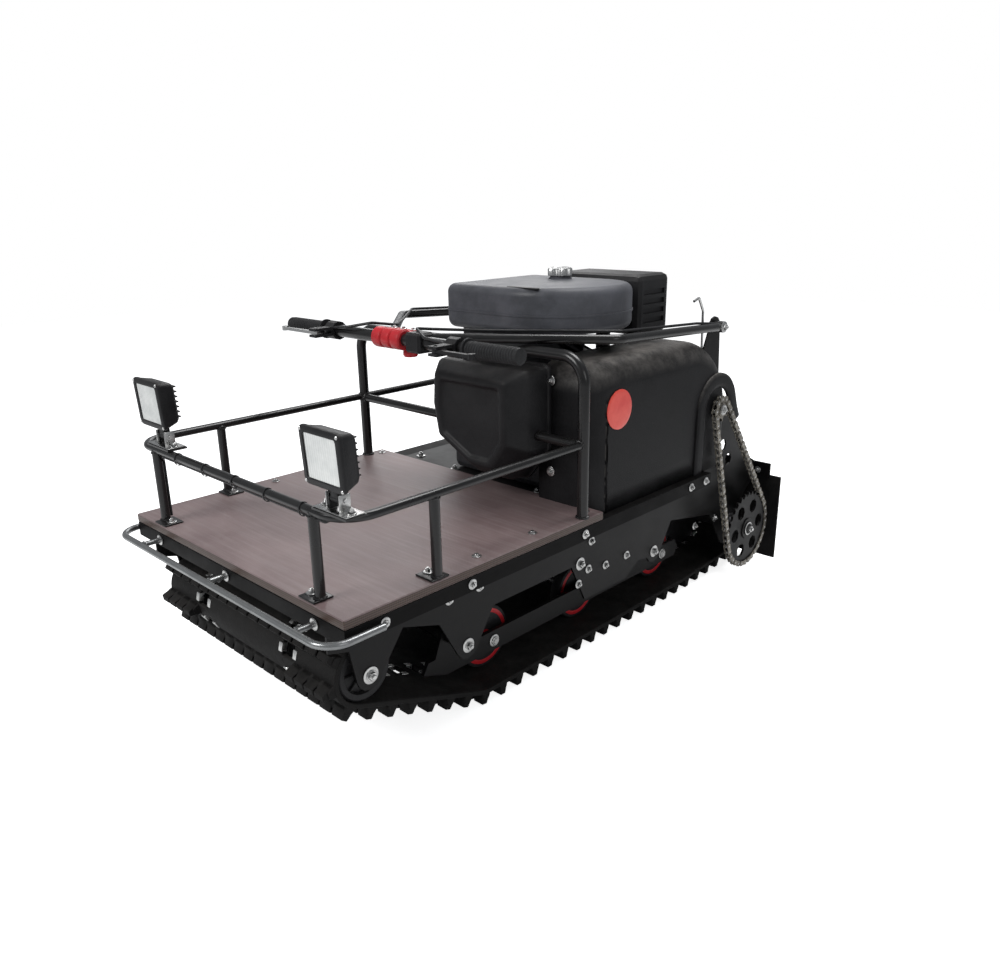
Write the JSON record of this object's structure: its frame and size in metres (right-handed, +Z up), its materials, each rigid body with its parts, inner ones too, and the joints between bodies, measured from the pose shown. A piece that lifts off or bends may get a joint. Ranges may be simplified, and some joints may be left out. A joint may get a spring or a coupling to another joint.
{
  "type": "tracked snow tow vehicle",
  "caption": "Walk-behind tracked snow tow vehicle with a railed cargo deck in front, hooded chain drive, engine behind and a folding steering handle.",
  "frame": {"origin": "middle of the outline on the ground, under the track", "axes": "+Z up, +X to the chain side, -Y towards the deck's front"},
  "size_m": [0.65, 1.262, 0.7046],
  "materials": {
    "paint": "gloss black paint",
    "steel": "zinc plated",
    "greytube": "grey metallic paint",
    "ply": "film-faced plywood",
    "rubber": "matte rubber",
    "plastic": "textured moulding",
    "tank": "dark grey moulding",
    "red": "red moulding",
    "cast": "cast alloy",
    "glass": "ribbed lamp glass"
  },
  "bodies": {
    "chassis": {"main_frame": "paint", "side_plate_left": "paint", "side_plate_right": "paint", "skid_frame": "paint", "deck_board": "ply", "guard_rail": "paint", "hoop": "paint", "bumper": "greytube", "lamp_fork_left": "paint", "lamp_fork_right": "paint", "drive_bearing_left": "cast", "drive_bearing_right": "cast", "jack_bearing_right": "cast", "engine_base": "paint", "engine_block": "cast", "recoil_starter": "plastic", "fuel_tank": "tank", "muffler_shield": "plastic", "front_guard": "plastic", "drive_hood": "plastic", "hood_disc": "red", "rear_bar": "paint", "track_belt": "rubber", "roller_chain": "steel"},
    "lamp_left": {"lamp_housing_left": "plastic", "lamp_glass_left": "glass"},
    "lamp_right": {"lamp_housing_right": "plastic", "lamp_glass_right": "glass"},
    "handle": {"handle_arms": "paint", "handlebar": "paint", "grip_left": "rubber", "grip_right": "rubber", "handle_clamp": "red", "brake_perch": "plastic", "throttle_perch": "plastic", "switch_block": "plastic"},
    "brake": {"brake_lever": "steel"},
    "throttle": {"throttle_lever": "plastic"},
    "drive": {"drive_axle": "plastic", "chain_sprocket_lower": "steel"},
    "jack": {"jackshaft": "steel", "chain_sprocket_upper": "steel"},
    "idler": {"front_idler": "plastic"},
    "road_front": {"road_wheels_front": "red"},
    "road_middle": {"road_wheels_middle": "red"},
    "road_rear": {"road_wheels_rear": "red"},
    "pull": {"starter_grip": "plastic"},
    "cap": {"fuel_cap": "steel"},
    "flap": {"mud_flap": "rubber"},
    "latch": {"latch_hook": "steel"}
  },
  "joints": [
    {"name": "drive_spin", "type": "hinge", "parent": "chassis", "child": "drive", "pos_m": [0, 0.5145, 0.114], "axis": [1, 0, 0], "continuous": true, "deforming": ["track_belt", "roller_chain"]},
    {"name": "jack_spin", "type": "hinge", "parent": "chassis", "child": "jack", "pos_m": [0, 0.36731, 0.41578], "axis": [1, 0, 0], "continuous": true},
    {"name": "idler_spin", "type": "hinge", "parent": "chassis", "child": "idler", "pos_m": [0, -0.51769, 0.172], "axis": [1, 0, 0], "continuous": true},
    {"name": "road_front_spin", "type": "hinge", "parent": "chassis", "child": "road_front", "pos_m": [0, -0.2125, 0.0878], "axis": [1, 0, 0], "continuous": true},
    {"name": "road_middle_spin", "type": "hinge", "parent": "chassis", "child": "road_middle", "pos_m": [0, 0.0495, 0.0878], "axis": [1, 0, 0], "continuous": true},
    {"name": "road_rear_spin", "type": "hinge", "parent": "chassis", "child": "road_rear", "pos_m": [0, 0.3145, 0.0878], "axis": [1, 0, 0], "continuous": true},
    {"name": "handle_fold", "type": "hinge", "parent": "chassis", "child": "handle", "pos_m": [0, 0.3995, 0.578], "axis": [-1, 0, 0], "range_deg": [0, 150]},
    {"name": "brake_squeeze", "type": "hinge", "parent": "handle", "child": "brake", "pos_m": [-0.163, -0.2795, 0.605], "axis": [0, 0, -1], "range_deg": [0, 11], "stiffness_Nm_per_rad": 0.6},
    {"name": "throttle_squeeze", "type": "hinge", "parent": "handle", "child": "throttle", "pos_m": [0.163, -0.2795, 0.605], "axis": [0, 0, 1], "range_deg": [0, 14], "stiffness_Nm_per_rad": 0.4},
    {"name": "lamp_left_tilt", "type": "hinge", "parent": "chassis", "child": "lamp_left", "pos_m": [-0.208, -0.5635, 0.462], "axis": [1, 0, 0], "range_deg": [-30, 30]},
    {"name": "lamp_right_tilt", "type": "hinge", "parent": "chassis", "child": "lamp_right", "pos_m": [0.28, -0.5635, 0.462], "axis": [1, 0, 0], "range_deg": [-30, 30]},
    {"name": "starter_pull", "type": "slide", "parent": "chassis", "child": "pull", "axis": [0, 1, 0], "range_m": [0, 0.3], "stiffness_N_per_m": 20},
    {"name": "cap_turn", "type": "hinge", "parent": "chassis", "child": "cap", "pos_m": [0.06, 0.1445, 0.6876], "axis": [0, 0, 1], "range_deg": [0, 90]},
    {"name": "flap_swing", "type": "hinge", "parent": "chassis", "child": "flap", "pos_m": [0, 0.622, 0.212], "axis": [1, 0, 0], "range_deg": [0, 40]},
    {"name": "latch_swing", "type": "hinge", "parent": "chassis", "child": "latch", "pos_m": [0.2527, 0.3655, 0.508], "axis": [1, 0, 0], "range_deg": [0, 25]}
  ],
  "couplings": [
    {"joint": "jack_spin", "follows": "drive_spin", "ratio": 3.6667},
    {"joint": "idler_spin", "follows": "drive_spin", "ratio": 1.5424},
    {"joint": "road_front_spin", "follows": "drive_spin", "ratio": 1.361},
    {"joint": "road_middle_spin", "follows": "drive_spin", "ratio": 1.361},
    {"joint": "road_rear_spin", "follows": "drive_spin", "ratio": 1.361}
  ]
}
